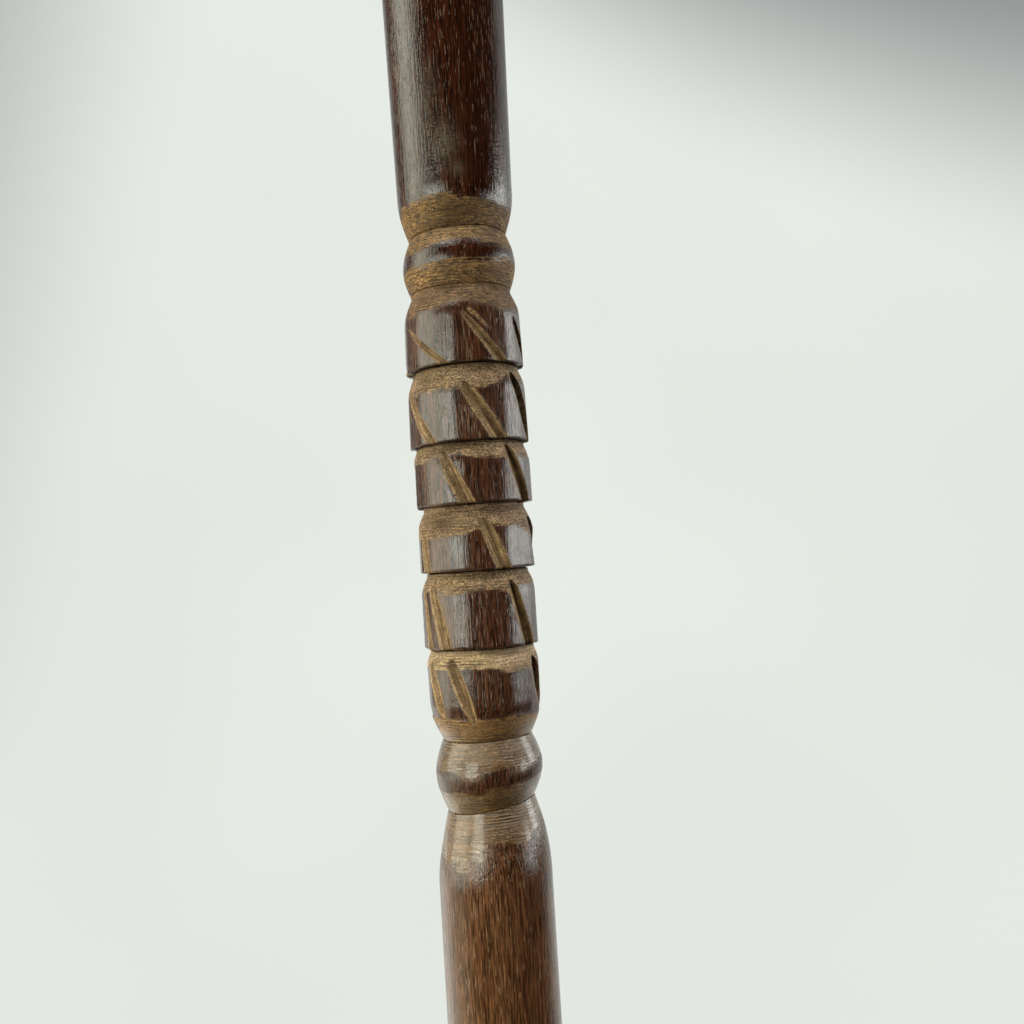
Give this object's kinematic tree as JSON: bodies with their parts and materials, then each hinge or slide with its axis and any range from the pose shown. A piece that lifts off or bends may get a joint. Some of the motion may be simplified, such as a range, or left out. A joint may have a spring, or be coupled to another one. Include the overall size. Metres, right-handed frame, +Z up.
{
  "type": "drop spindle",
  "caption": "High-whorl drop spindle: carved dark hardwood shaft with beads and gouged bands, a turned lift-off whorl and a brass screw hook.",
  "frame": {"origin": "inside top of the hook's crook, on the shaft's axis, where the yarn pulls", "axes": "+Z up along the shaft; -Y towards the viewer of the carved front; the hook opens towards +X"},
  "size_m": [0.07, 0.07, 0.3017],
  "materials": {
    "shaft_wood": "dark red-brown hardwood, hand polished, with pale filed wood in the necks and gouges",
    "whorl_wood": "dark red-brown hardwood, turned and polished",
    "hook_brass": "bent brass wire, slightly worn",
    "collar_brass": "pressed brass, slightly tarnished"
  },
  "bodies": {
    "spindle": {"shaft": "shaft_wood", "hook": "hook_brass", "hook_collar": "collar_brass"},
    "whorl": {"whorl": "whorl_wood"}
  },
  "joints": [
    {"name": "whorl_lift", "type": "slide", "parent": "spindle", "child": "whorl", "axis": [0, 0, 1], "range_m": [0, 0.045]}
  ]
}
